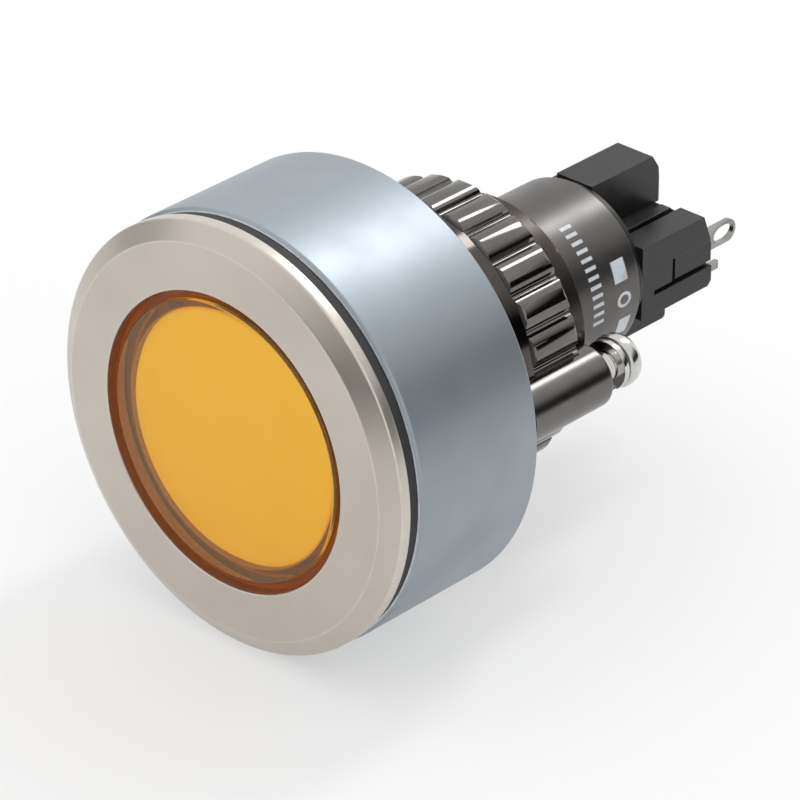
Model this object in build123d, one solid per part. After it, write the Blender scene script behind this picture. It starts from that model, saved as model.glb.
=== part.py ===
from build123d import *
import math
import os

# Panel pilot light with a raised metal collar, in millimetres.
# Y runs along the lamp's axis, from the lens at the front (minus Y) to the terminals at the rear.
# The origin is the centre of the collar's rear face, which lies on the front of the panel.

# Collar and the pieces that it carries
collar_radius = 21.6
collar_wall = 3.4
collar_length = 15.9
collar_base = 3.4
collar_edge = 0.35
gasket_thickness = 1.2
gasket_setback = 0.35
gasket_hole_clearance = 0.05
panel_seal_margin = 1.3
panel_seal_width = 3.0
panel_seal_depth = 1.0

# Front ring
ring_setback = 0.1
ring_thickness = 2.3
ring_chamfer_width = 1.85
ring_chamfer_depth = 1.2
ring_guide_depth = 6.8
ring_guide_wall = 1.17
ring_spigot_wall = 2.0
ring_spigot_clearance = 0.1
ring_shelf_width = 1.2
ring_shelf_thickness = 0.8

# Lens, its sealing ring and the diffuser inside it
lens_clearance = 0.08
lens_recess = 0.2
lens_rim_width = 0.75
lens_rim_drop = 1.0
lens_front_wall = 1.8
lens_disc_margin = 2.8
lens_disc_step = 0.1
lens_wall = 1.85
lens_edge = 0.3
lens_seat_gap = 0.2
seal_cord_radius = 0.45
seal_groove_clearance = 0.04
seal_setback = 2.2
diffuser_thickness = 1.2
diffuser_wall = 0.8
diffuser_length = 3.2
diffuser_clearance = 0.05

# Mounting barrel
barrel_radius = 11.1
barrel_length = 18.8
barrel_wall = 2.08
barrel_flange_clearance = 0.3
barrel_flange_thickness = 2.0
barrel_edge = 0.5
barrel_hole_clearance = 0.15
barrel_shoulder_width = 0.9
barrel_shoulder_place = 3.0
keyway_width = 2.0
keyway_depth = 0.8

# Reflector
reflector_flange_thickness = 1.0
reflector_rear_setback = 0.4
reflector_rim_setback = 1.33
reflector_wall = 0.8
reflector_clearance = 0.1
reflector_front_gap = 0.3

# Rear body and the lamp parts inside it
body_length = 26.1
body_clearance = 0.12
body_wall = 1.35
body_rear_wall = 1.4
body_edge = 0.25
socket_wall = 2.1
socket_base = 1.5
socket_length = 15.7
socket_clearance = 0.05
shell_wall = 0.45
shell_length = 10.0
shell_rim = 0.7
shell_rim_thickness = 0.4
bayonet_slot_width = 1.7
bayonet_slot_depth = 6.6
bayonet_hook_angle = 24
lamp_cap_clearance = 0.3
lamp_cap_seat_depth = 0.9
lamp_cap_length = 9.0
lamp_cap_tip_radius = 1.8
lamp_cap_tip_height = 0.6
lamp_cap_wall = 0.5
bayonet_pin_radius = 0.7
bayonet_pin_reach = 0.55
globe_bulge = 0.25
globe_neck_setback = 0.55
globe_length = 14.4
contact_radius = 1.5
contact_stem_radius = 1.1
contact_flange_width = 0.6
contact_flange_thickness = 0.4
contact_head_height = 0.6
contact_clearance = 0.1
spring_coil_radius = 2.5
spring_wire_radius = 0.22
spring_turns = 3

# Terminal hub and the blocks around it
neck_setback = 0.5
neck_length = 0.8
hub_half_width = 4.8
hub_half_height = 3.3
hub_length = 9.6
rib_width = 1.2
rib_height = 1.0
rib_shortfall = 0.9
side_block_width = 3.45
side_block_rise = 0.8
side_block_drop = 0.5
side_block_length = 10.5
side_block_groove = 0.35
side_block_lean = 1.3
side_block_lean_height = 3.4
side_block_edge = 0.5
slot_height = 0.5
slot_depth = 0.7
slot_drop = 1.4
slot_front_margin = 1.9
window_front_margin = 4.8
window_height = 2.4
window_recess = 0.12
end_block_left = 2.8
end_block_right = 1.7
upper_block_height = 5.2
upper_block_length = 10.4
upper_block_lean = 1.4
upper_block_lean_height = 4.2
foot_half_width = 2.8
foot_height = 6.1
foot_length = 10.3
block_clearance = 0.05
block_edge = 0.5

# Terminals
tab_width = 2.4
tab_thickness = 0.5
tab_offset = 0.2
tab_reach = 5.1
tab_eye_width = 1.2
tab_eye_length = 2.4
tab_height = 0.2
tab_depth = 6.0
blade_width = 0.9
blade_reach = 2.7
blade_drop = 3.0

# Fluted clamp nut with its screw boss
nut_length = 9.1
nut_rim_width = 3.5
nut_flange_length = 2.8
nut_flange_setback = 0.45
nut_flute_depth = 0.75
nut_flutes = 24
nut_flute_radius = 1.7
nut_end_round = 0.8
nut_thread_clearance = 0.06
boss_angle = -8
boss_spacing = 2.75
boss_radius = 3.2
boss_length = 11.0
boss_edge = 0.35

# Clamp screw and its lock washer
screw_radius = 1.45
screw_hole_clearance = 0.05
screw_head_radius = 2.7
screw_head_height = 2.3
screw_rise = 3.1
screw_length = 11.7
screw_slot_width = 0.7
screw_slot_depth = 1.0
lock_washer_setback = 0.2
lock_washer_thickness = 0.7
lock_washer_gap = 0.1
lock_washer_clearance = 0.08

# Tab washer between the panel and the nut
washer_place = 4.4
washer_width = 2.5
washer_thickness = 0.5
washer_gap = 0.1
washer_clearance = 0.1

# Radii from the collar inwards, each one the last less a wall or a clearance
ring_radius = collar_radius - ring_setback
collar_bore_radius = collar_radius - collar_wall
ring_outer_spigot = collar_bore_radius - ring_spigot_clearance
ring_inner_spigot = ring_outer_spigot - ring_spigot_wall
ring_bore_radius = ring_inner_spigot - ring_guide_wall
shelf_radius = ring_bore_radius - ring_shelf_width
gasket_hole_radius = ring_outer_spigot + gasket_hole_clearance
lens_radius = ring_bore_radius - lens_clearance
lens_face_radius = lens_radius - lens_rim_width
lens_disc_radius = lens_face_radius - lens_disc_margin
lens_bore_radius = lens_radius - lens_wall
barrel_flange_radius = collar_bore_radius - barrel_flange_clearance
reflector_front_radius = shelf_radius - reflector_rim_setback

# Radii from the barrel inwards
body_radius = barrel_radius - barrel_wall - body_clearance
barrel_shoulder_radius = body_radius - barrel_shoulder_width
reflector_rear_radius = barrel_shoulder_radius - reflector_rear_setback
neck_radius = body_radius - neck_setback
socket_radius = body_radius - body_wall - socket_clearance
shell_radius = socket_radius - socket_wall
lamp_cap_radius = shell_radius - shell_wall - lamp_cap_clearance
globe_radius = lamp_cap_radius + globe_bulge
globe_neck_radius = lamp_cap_radius - globe_neck_setback
contact_flange_radius = spring_coil_radius + contact_flange_width

# Radii from the barrel outwards
panel_seal_inner = barrel_radius + panel_seal_margin
panel_seal_outer = panel_seal_inner + panel_seal_width
washer_radius = barrel_radius + washer_width
nut_bore_radius = barrel_radius + nut_thread_clearance
nut_tip_radius = barrel_radius + nut_rim_width
nut_root_radius = nut_tip_radius - nut_flute_depth
nut_flange_radius = nut_tip_radius - nut_flange_setback
boss_offset = barrel_radius + boss_spacing
boss_x = boss_offset * math.cos(math.radians(boss_angle))
boss_z = boss_offset * math.sin(math.radians(boss_angle))
lock_washer_radius = screw_head_radius - lock_washer_setback

# Places along the axis in front of the panel
gasket_front = -(collar_length + gasket_thickness)
ring_front = gasket_front - ring_thickness
flange_rear = -collar_base
flange_front = flange_rear - barrel_flange_thickness
shelf_front = ring_front + ring_guide_depth
shelf_rear = shelf_front + ring_shelf_thickness
lens_front = ring_front + lens_recess
lens_rear = shelf_front - lens_seat_gap
lens_inner_face = lens_front + lens_front_wall

# Places along the axis behind the panel
nut_front = washer_place + washer_thickness + washer_gap
nut_flange_rear = nut_front + nut_flange_length
nut_rear = nut_front + nut_length
boss_rear = nut_front + boss_length
screw_head_place = boss_rear + screw_rise
screw_tip_place = screw_head_place - screw_length
body_rear = barrel_shoulder_place + body_length
body_inner_face = body_rear - body_rear_wall
socket_front = body_inner_face - socket_length
socket_bottom = body_inner_face - socket_base
lamp_cap_front = socket_front + lamp_cap_seat_depth
lamp_cap_rear = lamp_cap_front + lamp_cap_length
globe_front = lamp_cap_front - globe_length
contact_front = lamp_cap_rear + lamp_cap_tip_height
neck_rear = body_rear + neck_length

# The terminal hub and the blocks that sit on it
hub_rear = neck_rear + hub_length
side_block_rear = neck_rear + side_block_length
side_block_inner = hub_half_width + block_clearance
side_block_outer = side_block_inner + side_block_width
side_block_top = hub_half_height + side_block_rise
side_block_bottom = hub_half_height + side_block_drop
upper_block_top = hub_half_height + upper_block_height
foot_bottom = hub_half_height + foot_height
tab_centre = (side_block_inner + side_block_outer) / 2 + tab_offset


def turned(*outline):
    """A piece turned about the lamp's axis from corners given as radius and Y."""
    return revolve(make_face(Polyline(*outline, close=True)), Axis.Y, 360)


def tube(outer_radius, inner_radius, front, rear):
    return turned(
        (inner_radius, front), (outer_radius, front), (outer_radius, rear), (inner_radius, rear)
    )


def rod(radius, front, rear, x=0, z=0):
    """A round bar parallel to the axis, between two places along it."""
    return extrude(Plane.XZ.offset(-rear) * Pos(x, z) * Circle(radius), rear - front)


def along_axis(outline, front, rear):
    """An outline seen from the front (X and Z), run along the axis."""
    return extrude(Plane.XZ.offset(-rear) * outline, rear - front)


def across(outline, low, high):
    """An outline seen from the side (Y and Z), run across in X."""
    return extrude(Plane.YZ.offset(low) * outline, high - low)


def block(x_low, x_high, y_low, y_high, z_low, z_high):
    size = (x_high - x_low, y_high - y_low, z_high - z_low)
    centre = ((x_low + x_high) / 2, (y_low + y_high) / 2, (z_low + z_high) / 2)
    return Pos(*centre) * Box(*size)


# Front ring: a turned face with a wide chamfer, a guide for the lens and a long clamping spigot
def make_front_ring():
    return turned(
        (ring_bore_radius, ring_front),
        (ring_radius - ring_chamfer_width, ring_front),
        (ring_radius, ring_front + ring_chamfer_depth),
        (ring_radius, gasket_front),
        (ring_outer_spigot, gasket_front),
        (ring_outer_spigot, flange_front),
        (ring_inner_spigot, flange_front),
        (ring_inner_spigot, shelf_rear),
        (shelf_radius, shelf_rear),
        (shelf_radius, shelf_front),
        (ring_bore_radius, shelf_front),
    )


# Flat black gasket between the ring and the collar
def make_ring_gasket():
    return tube(collar_radius - gasket_setback, gasket_hole_radius, gasket_front, -collar_length)


# Raised collar: a cup that lifts the lamp off the panel, grooved at the rear for the panel seal
def make_collar():
    cup = turned(
        (collar_bore_radius, -collar_length),
        (collar_radius - collar_edge, -collar_length),
        (collar_radius, -collar_length + collar_edge),
        (collar_radius, -collar_edge),
        (collar_radius - collar_edge, 0),
        (barrel_radius + barrel_hole_clearance, 0),
        (barrel_radius + barrel_hole_clearance, flange_rear),
        (collar_bore_radius, flange_rear),
    )
    return cup - tube(panel_seal_outer, panel_seal_inner, -panel_seal_depth, panel_seal_depth)


def make_panel_seal():
    return tube(panel_seal_outer, panel_seal_inner, -panel_seal_depth, 0)


# Barrel: the tube through the panel, with a flange inside the collar and a keyway along the bottom
def make_barrel():
    bore_radius = body_radius + body_clearance
    shape = turned(
        (barrel_shoulder_radius, flange_front),
        (barrel_flange_radius, flange_front),
        (barrel_flange_radius, flange_rear),
        (barrel_radius, flange_rear),
        (barrel_radius, barrel_length - barrel_edge),
        (barrel_radius - barrel_edge, barrel_length),
        (bore_radius, barrel_length),
        (bore_radius, barrel_shoulder_place),
        (barrel_shoulder_radius, barrel_shoulder_place),
    )
    keyway = block(
        -keyway_width / 2,
        keyway_width / 2,
        0,
        barrel_length + 1,
        -barrel_radius - 1,
        -barrel_radius + keyway_depth,
    )
    return shape - keyway


# Reflector: a white cone that carries the lamp's light to the lens, held by its flange
def make_reflector():
    cone_front = shelf_rear + reflector_front_gap
    flange_edge = flange_front - reflector_flange_thickness
    return turned(
        (reflector_rear_radius, flange_front),
        (ring_inner_spigot - reflector_clearance, flange_front),
        (ring_inner_spigot - reflector_clearance, flange_edge),
        (reflector_rear_radius + reflector_wall, flange_edge),
        (reflector_front_radius + reflector_wall, cone_front),
        (reflector_front_radius, cone_front),
    )


# Lens: a clear amber cap with a raised face, a fine ring on it and a grooved skirt
def make_lens():
    groove_front = lens_rear - seal_setback - seal_cord_radius - seal_groove_clearance
    groove_rear = lens_rear - seal_setback + seal_cord_radius + seal_groove_clearance
    groove_radius = lens_radius - 2 * seal_cord_radius
    disc_face = lens_front
    outer_face = lens_front + lens_disc_step
    rim_face = lens_front + lens_rim_drop
    return turned(
        (0, disc_face),
        (lens_disc_radius, disc_face),
        (lens_disc_radius + lens_disc_step, outer_face),
        (lens_face_radius - lens_edge, outer_face),
        (lens_face_radius, outer_face + lens_edge),
        (lens_face_radius, rim_face),
        (lens_radius, rim_face),
        (lens_radius, groove_front),
        (groove_radius, groove_front),
        (groove_radius, groove_rear),
        (lens_radius, groove_rear),
        (lens_radius, lens_rear),
        (lens_bore_radius, lens_rear),
        (lens_bore_radius, lens_inner_face),
        (0, lens_inner_face),
    )


def make_lens_seal():
    cord_centre = lens_radius - seal_cord_radius
    cord = Plane.XY * Pos(cord_centre, lens_rear - seal_setback) * Circle(seal_cord_radius)
    return revolve(cord, Axis.Y, 360)


def make_diffuser():
    outer = lens_bore_radius - diffuser_clearance
    rear_face = lens_inner_face + diffuser_thickness
    skirt_end = lens_inner_face + diffuser_length
    return turned(
        (0, lens_inner_face),
        (outer, lens_inner_face),
        (outer, skirt_end),
        (outer - diffuser_wall, skirt_end),
        (outer - diffuser_wall, rear_face),
        (0, rear_face),
    )


# Rear body: the marked sleeve behind the barrel, closed at the back but for the contact's hole
def make_rear_body():
    inner = body_radius - body_wall
    hole = contact_stem_radius + contact_clearance
    return turned(
        (inner, barrel_shoulder_place),
        (body_radius, barrel_shoulder_place),
        (body_radius, body_rear - body_edge),
        (body_radius - body_edge, body_rear),
        (hole, body_rear),
        (hole, body_inner_face),
        (inner, body_inner_face),
    )


def make_lamp_socket():
    hole = contact_stem_radius + contact_clearance
    return turned(
        (shell_radius + socket_clearance, socket_front),
        (socket_radius, socket_front),
        (socket_radius, body_inner_face),
        (hole, body_inner_face),
        (hole, socket_bottom),
        (shell_radius + socket_clearance, socket_bottom),
    )


# Bayonet shell: a thin sleeve with two hooked slots for the pins on the lamp's cap
def make_bayonet_shell():
    shell = turned(
        (shell_radius - shell_wall, socket_front - shell_rim_thickness),
        (shell_radius + shell_rim, socket_front - shell_rim_thickness),
        (shell_radius + shell_rim, socket_front),
        (shell_radius, socket_front),
        (shell_radius, socket_front + shell_length),
        (shell_radius - shell_wall, socket_front + shell_length),
    )
    slot_front = socket_front - shell_rim_thickness - 1
    slot_rear = socket_front + bayonet_slot_depth
    slot = block(
        0, 2 * shell_radius, slot_front, slot_rear, -bayonet_slot_width / 2, bayonet_slot_width / 2
    )
    hook_front = slot_rear - bayonet_slot_width
    hook_face = make_face(
        Polyline((0, hook_front), (2 * shell_radius, hook_front), (2 * shell_radius, slot_rear),
                 (0, slot_rear), close=True)
    )
    half_slot_angle = math.degrees(math.asin(bayonet_slot_width / 2 / shell_radius))
    hook = revolve(hook_face, Axis.Y, bayonet_hook_angle + half_slot_angle)
    for turn in (0, 180):
        shell -= Rot(0, turn, 0) * (slot + hook)
    return shell


# Lamp: a sealed glass globe cemented in a bayonet cap
def make_lamp_globe():
    dome_centre = globe_front + globe_radius
    neck_place = lamp_cap_front
    outline = Line((0, globe_front), (0, neck_place + lamp_cap_wall))
    outline += Line((0, neck_place + lamp_cap_wall), (globe_neck_radius, neck_place + lamp_cap_wall))
    outline += Line((globe_neck_radius, neck_place + lamp_cap_wall), (globe_neck_radius, neck_place))
    outline += Spline(
        (globe_neck_radius, neck_place),
        (globe_radius, dome_centre),
        tangents=((0, -1), (0, -1)),
    )
    outline += CenterArc((0, dome_centre), globe_radius, 270, 90)
    return revolve(make_face(outline), Axis.Y, 360)


def make_lamp_cap():
    cap = turned(
        (0, lamp_cap_front + lamp_cap_wall),
        (globe_neck_radius, lamp_cap_front + lamp_cap_wall),
        (globe_neck_radius, lamp_cap_front),
        (lamp_cap_radius, lamp_cap_front),
        (lamp_cap_radius, lamp_cap_rear - lamp_cap_wall),
        (lamp_cap_radius - lamp_cap_wall, lamp_cap_rear),
        (lamp_cap_tip_radius, lamp_cap_rear),
        (lamp_cap_tip_radius - lamp_cap_tip_height / 2, contact_front),
        (0, contact_front),
    )
    pin_place = socket_front + bayonet_slot_depth - bayonet_slot_width / 2
    pin_length = lamp_cap_radius + bayonet_pin_reach
    pins = Pos(0, pin_place, 0) * Rot(0, 90, 0) * Cylinder(bayonet_pin_radius, 2 * pin_length)
    return cap + Rot(0, bayonet_hook_angle, 0) * pins


# Centre contact: a flanged button pushed at the lamp's tip by a small coil spring
def make_centre_contact():
    flange_face = contact_front + contact_head_height
    flange_back = flange_face + contact_flange_thickness
    return turned(
        (0, contact_front),
        (contact_radius, contact_front),
        (contact_radius, flange_face),
        (contact_flange_radius, flange_face),
        (contact_flange_radius, flange_back),
        (contact_stem_radius, flange_back),
        (contact_stem_radius, body_rear),
        (0, body_rear),
    )


def make_contact_spring():
    start = contact_front + contact_head_height + contact_flange_thickness + spring_wire_radius
    end = socket_bottom - spring_wire_radius
    path = Helix((end - start) / spring_turns, end - start, spring_coil_radius)
    section = Plane(origin=path @ 0, z_dir=path % 0) * Circle(spring_wire_radius)
    coil = sweep(section, path, is_frenet=True)
    return Pos(0, start, 0) * Rot(-90, 0, 0) * coil


# Terminal hub: the moulded core behind the rear body, with a guide rib along each corner
def make_terminal_hub():
    hub = rod(neck_radius, body_rear, neck_rear)
    hub += block(
        -hub_half_width, hub_half_width, neck_rear, hub_rear, -hub_half_height, hub_half_height
    )
    rib_rear = hub_rear - rib_shortfall
    rib_outline = Polyline(
        (neck_rear, 0),
        (rib_rear, 0),
        (rib_rear, rib_height / 2),
        (rib_rear - rib_height / 2, rib_height),
        (neck_rear, rib_height),
        close=True,
    )
    rib = across(make_face(rib_outline), hub_half_width - rib_width, hub_half_width)
    top_ribs = Pos(0, 0, hub_half_height) * (rib + mirror(rib, Plane.YZ))
    return hub + top_ribs + mirror(top_ribs, Plane.XY)


# Side blocks: one on each side of the hub, each carrying a solder tab and a short blade
def make_side_block():
    rear = side_block_rear
    lean_top = side_block_top
    outline = Polyline(
        (neck_rear, -side_block_bottom),
        (rear - side_block_edge, -side_block_bottom),
        (rear, -side_block_bottom + side_block_edge),
        (rear, lean_top - side_block_lean_height),
        (rear - side_block_lean, lean_top),
        (neck_rear, lean_top),
        close=True,
    )
    slab = across(make_face(outline), side_block_inner, side_block_outer)
    inner_groove = block(
        side_block_inner - 1,
        side_block_inner + side_block_groove,
        neck_rear - 1,
        rear + 1,
        hub_half_height - side_block_groove,
        side_block_top + 1,
    )
    slab -= inner_groove
    slab -= mirror(inner_groove, Plane.XY)
    slot_top = -slot_drop + slot_height / 2
    slab -= block(
        side_block_outer - slot_depth,
        side_block_outer + 1,
        neck_rear + slot_front_margin,
        rear + 1,
        slot_top - slot_height,
        slot_top,
    )
    window_front = neck_rear + window_front_margin
    slab -= block(
        side_block_outer - slot_depth,
        side_block_outer + 1,
        window_front - slot_height / 2,
        window_front + slot_height / 2,
        slot_top - slot_height,
        slot_top + window_height,
    )
    slab -= block(
        side_block_outer - window_recess,
        side_block_outer + 1,
        window_front,
        rear + 1,
        slot_top,
        slot_top + window_height,
    )
    tab_slot = block(
        tab_centre - tab_thickness / 2 - block_clearance,
        tab_centre + tab_thickness / 2 + block_clearance,
        rear - tab_depth,
        rear + 1,
        tab_height - tab_width / 2 - block_clearance,
        tab_height + tab_width / 2 + block_clearance,
    )
    blade_slot = block(
        tab_centre - tab_thickness / 2 - block_clearance,
        tab_centre + tab_thickness / 2 + block_clearance,
        rear - tab_depth,
        rear + 1,
        -blade_drop - blade_width / 2 - block_clearance,
        -blade_drop + blade_width / 2 + block_clearance,
    )
    return slab - tab_slot - blade_slot


# Upper block: the tall key at the top, with a leaning rear face and rounded corners
def make_upper_block():
    rear = neck_rear + upper_block_length
    outline = Polyline(
        (neck_rear, hub_half_height),
        (rear, hub_half_height),
        (rear, upper_block_top - upper_block_lean_height),
        (rear - upper_block_lean / 3, upper_block_top - upper_block_lean_height / 3),
        (rear - upper_block_lean, upper_block_top),
        (neck_rear, upper_block_top),
        close=True,
    )
    shape = across(make_face(outline), -end_block_left, end_block_right)
    corners = shape.edges().filter_by(Axis.Z).sort_by(Axis.Y)[-2:]
    return fillet(corners, block_edge)


# Foot: the deeper key at the bottom
def make_foot_block():
    shape = block(
        -foot_half_width,
        foot_half_width,
        neck_rear,
        neck_rear + foot_length,
        -foot_bottom,
        -hub_half_height,
    )
    corners = shape.edges().filter_by(Axis.X).group_by(Axis.Y)[-1].sort_by(Axis.Z)[:1]
    return fillet(corners, block_edge)


# Solder tab: a flat strip with a round end and an oval eye
def make_solder_tab():
    rear = side_block_rear
    tip = rear + tab_reach
    end_radius = tab_width / 2
    strip = block(
        tab_centre - tab_thickness / 2,
        tab_centre + tab_thickness / 2,
        rear - tab_depth,
        tip - end_radius,
        tab_height - end_radius,
        tab_height + end_radius,
    )
    round_end = across(
        Pos(tip - end_radius, tab_height) * Circle(end_radius),
        tab_centre - tab_thickness / 2,
        tab_centre + tab_thickness / 2,
    )
    eye_place = tip - (tab_width - tab_eye_width) / 2 - tab_eye_length / 2
    eye = across(
        Pos(eye_place, tab_height) * SlotOverall(tab_eye_length, tab_eye_width),
        tab_centre - tab_thickness,
        tab_centre + tab_thickness,
    )
    return strip + round_end - eye


def make_short_blade():
    tip = side_block_rear + blade_reach
    shape = block(
        tab_centre - tab_thickness / 2,
        tab_centre + tab_thickness / 2,
        side_block_rear - tab_depth,
        tip,
        -blade_drop - blade_width / 2,
        -blade_drop + blade_width / 2,
    )
    return chamfer(shape.faces().sort_by(Axis.Y)[-1].edges(), tab_thickness / 4)


# Clamp nut: plain flange, fluted rim with rounded ends, and a round boss at one side for the clamp screw
def make_clamp_nut():
    outline = Circle(nut_root_radius)
    flute_offset = nut_tip_radius - nut_flute_radius
    outline += PolarLocations(flute_offset, nut_flutes) * Circle(nut_flute_radius)
    fluted = along_axis(outline, nut_flange_rear - 0.5, nut_rear)
    envelope = turned(
        (0, nut_flange_rear - 0.5),
        (nut_tip_radius - nut_end_round, nut_flange_rear - 0.5),
        (nut_flange_radius - 0.05, nut_flange_rear),
        (nut_tip_radius + 0.01, nut_flange_rear + nut_end_round / 2),
        (nut_tip_radius + 0.01, nut_rear - nut_end_round),
        (nut_tip_radius - nut_end_round / 3, nut_rear - nut_end_round / 3),
        (nut_tip_radius - nut_end_round, nut_rear),
        (0, nut_rear),
    )
    boss = rod(boss_radius, nut_front, boss_rear, boss_x, boss_z)
    boss = fillet(boss.edges().group_by(Axis.Y)[-1], boss_edge)
    flange = chamfer(rod(nut_flange_radius, nut_front, nut_flange_rear).edges().group_by(Axis.Y)[0], nut_end_round / 4)
    nut = (fluted & envelope) + flange + boss
    nut -= rod(nut_bore_radius, nut_front - 1, boss_rear + 1)
    screw_hole = screw_radius + screw_hole_clearance
    return nut - rod(screw_hole, nut_front - 1, boss_rear + 1, boss_x, boss_z)


# Clamp screw: a slotted round head on a plain shank, turned about its own axis
def make_clamp_screw():
    rim = screw_head_place + screw_head_height / 2
    crown = screw_head_place + screw_head_height
    outline = Line((0, screw_tip_place), (screw_radius - 0.3, screw_tip_place))
    outline += Line((screw_radius - 0.3, screw_tip_place), (screw_radius, screw_tip_place + 0.3))
    outline += Line((screw_radius, screw_tip_place + 0.3), (screw_radius, screw_head_place))
    outline += Line((screw_radius, screw_head_place), (screw_head_radius, screw_head_place))
    outline += Line((screw_head_radius, screw_head_place), (screw_head_radius, rim))
    outline += ThreePointArc(
        (screw_head_radius, rim),
        (screw_head_radius * 0.72, crown - screw_head_height * 0.13),
        (0, crown),
    )
    outline += Line((0, crown), (0, screw_tip_place))
    screw = revolve(make_face(outline), Axis.Y, 360)
    screw -= block(
        -screw_slot_width / 2,
        screw_slot_width / 2,
        crown - screw_slot_depth,
        crown + 1,
        -screw_head_radius - 1,
        screw_head_radius + 1,
    )
    return Pos(boss_x, 0, boss_z) * Rot(0, -35, 0) * screw


def make_lock_washer():
    rear = screw_head_place - lock_washer_gap
    front = rear - lock_washer_thickness
    ring = tube(lock_washer_radius, screw_radius + lock_washer_clearance, front, rear)
    split = block(0, lock_washer_radius + 1, front - 1, rear + 1, -0.2, 0.2)
    return Pos(boss_x, 0, boss_z) * (ring - Rot(0, 60, 0) * split)


# Tab washer: keyed to the barrel, so that it slides but doesn't turn with the nut
def make_tab_washer():
    front = washer_place
    rear = front + washer_thickness
    inner = barrel_radius + washer_clearance
    ring = tube(washer_radius, inner, front, rear)
    tongue = block(
        -keyway_width / 2 + washer_clearance,
        keyway_width / 2 - washer_clearance,
        front,
        rear,
        -inner - 0.3,
        -barrel_radius + keyway_depth - washer_clearance,
    )
    return ring + tongue


def save(shape, node):
    export_step(shape, "parts/" + node + ".step")


os.makedirs("parts", exist_ok=True)

save(make_front_ring(), "front_ring")
save(make_ring_gasket(), "ring_gasket")
save(make_collar(), "collar")
save(make_panel_seal(), "panel_seal")
save(make_barrel(), "barrel")
save(make_reflector(), "reflector")
save(make_lens(), "lens")
save(make_lens_seal(), "lens_seal")
save(make_diffuser(), "diffuser")
save(make_rear_body(), "rear_body")
save(make_lamp_socket(), "lamp_socket")
save(make_bayonet_shell(), "bayonet_shell")
save(make_lamp_globe(), "lamp_globe")
save(make_lamp_cap(), "lamp_cap")
save(make_centre_contact(), "centre_contact")
save(make_contact_spring(), "contact_spring")
save(make_terminal_hub(), "terminal_hub")
right_block = make_side_block()
save(right_block, "right_block")
save(mirror(right_block, Plane.YZ), "left_block")
save(make_upper_block(), "upper_block")
save(make_foot_block(), "foot_block")
right_tab = make_solder_tab()
save(right_tab, "right_solder_tab")
save(mirror(right_tab, Plane.YZ), "left_solder_tab")
right_blade = make_short_blade()
save(right_blade, "right_short_blade")
save(mirror(right_blade, Plane.YZ), "left_short_blade")
save(make_tab_washer(), "tab_washer")
save(make_clamp_nut(), "clamp_nut")
save(make_lock_washer(), "lock_washer")
save(make_clamp_screw(), "clamp_screw")
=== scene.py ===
import math

import bpy
from mathutils import Matrix, Vector


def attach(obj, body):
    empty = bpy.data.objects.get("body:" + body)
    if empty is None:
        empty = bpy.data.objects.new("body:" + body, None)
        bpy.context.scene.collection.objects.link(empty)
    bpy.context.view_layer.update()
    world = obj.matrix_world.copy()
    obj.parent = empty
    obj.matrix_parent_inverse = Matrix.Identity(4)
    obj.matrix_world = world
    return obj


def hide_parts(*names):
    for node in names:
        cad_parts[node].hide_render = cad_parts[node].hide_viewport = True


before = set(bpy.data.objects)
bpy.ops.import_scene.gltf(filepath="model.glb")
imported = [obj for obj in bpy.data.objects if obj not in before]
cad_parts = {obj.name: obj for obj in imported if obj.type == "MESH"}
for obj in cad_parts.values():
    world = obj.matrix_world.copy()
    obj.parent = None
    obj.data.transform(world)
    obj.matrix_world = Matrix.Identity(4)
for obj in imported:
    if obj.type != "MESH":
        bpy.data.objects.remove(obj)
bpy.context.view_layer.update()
bpy.context.scene.view_settings.view_transform = "Standard"
MM = 0.001


# The front ring is turned from aluminium bar, fine blasted and anodised a warm grey.
# Its wide chamfer frames the lens, its bore guides it, and its long spigot slides into the collar.
def hold_corners(corners, closed, hold):
    """Add a point a little to each side of every corner, so that its rounding doesn't bend the flats."""
    held = []
    last = len(corners) - 1
    for number, (radius, place) in enumerate(corners):
        for neighbour in (number - 1, number + 1):
            if neighbour == number + 1:
                held.append((radius, place))
            if not closed and (neighbour < 0 or neighbour > last):
                continue
            next_radius, next_place = corners[neighbour % len(corners)]
            length = math.hypot(next_radius - radius, next_place - place)
            if length > 3 * hold:
                share = hold / length
                held.append((radius + (next_radius - radius) * share, place + (next_place - place) * share))
    return held


def turn_outline(name, corners, closed=True, steps=144, hold=0.3):
    """Draw an outline from corners of radius and Y in millimetres, and spin it about the lamp's axis."""
    if hold:
        corners = hold_corners(corners, closed, hold)
    bpy.ops.object.select_all(action="DESELECT")
    bpy.ops.mesh.primitive_plane_add(size=MM)
    piece = bpy.context.object
    piece.name = name
    piece.data.name = name
    bpy.ops.object.mode_set(mode="EDIT")
    bpy.ops.mesh.select_all(action="SELECT")
    bpy.ops.mesh.merge(type="CENTER")
    first_radius, first_place = corners[0]
    bpy.ops.transform.translate(value=(first_radius * MM, first_place * MM, 0))
    for (radius, place), (next_radius, next_place) in zip(corners, corners[1:]):
        step = ((next_radius - radius) * MM, (next_place - place) * MM, 0)
        bpy.ops.mesh.extrude_region_move(TRANSFORM_OT_translate={"value": step})
    if closed:
        bpy.ops.mesh.select_all(action="DESELECT")
        bpy.ops.object.mode_set(mode="OBJECT")
        piece.data.vertices[0].select = True
        piece.data.vertices[len(corners) - 1].select = True
        bpy.ops.object.mode_set(mode="EDIT")
        bpy.ops.mesh.edge_face_add()
    bpy.ops.mesh.select_all(action="SELECT")
    bpy.ops.mesh.spin(steps=steps, angle=math.tau, center=(0, 0, 0), axis=(0, 1, 0))
    bpy.ops.mesh.select_all(action="SELECT")
    bpy.ops.mesh.remove_doubles(threshold=0.001 * MM)
    bpy.ops.mesh.normals_make_consistent(inside=False)
    bpy.ops.object.mode_set(mode="OBJECT")
    return piece


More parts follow.
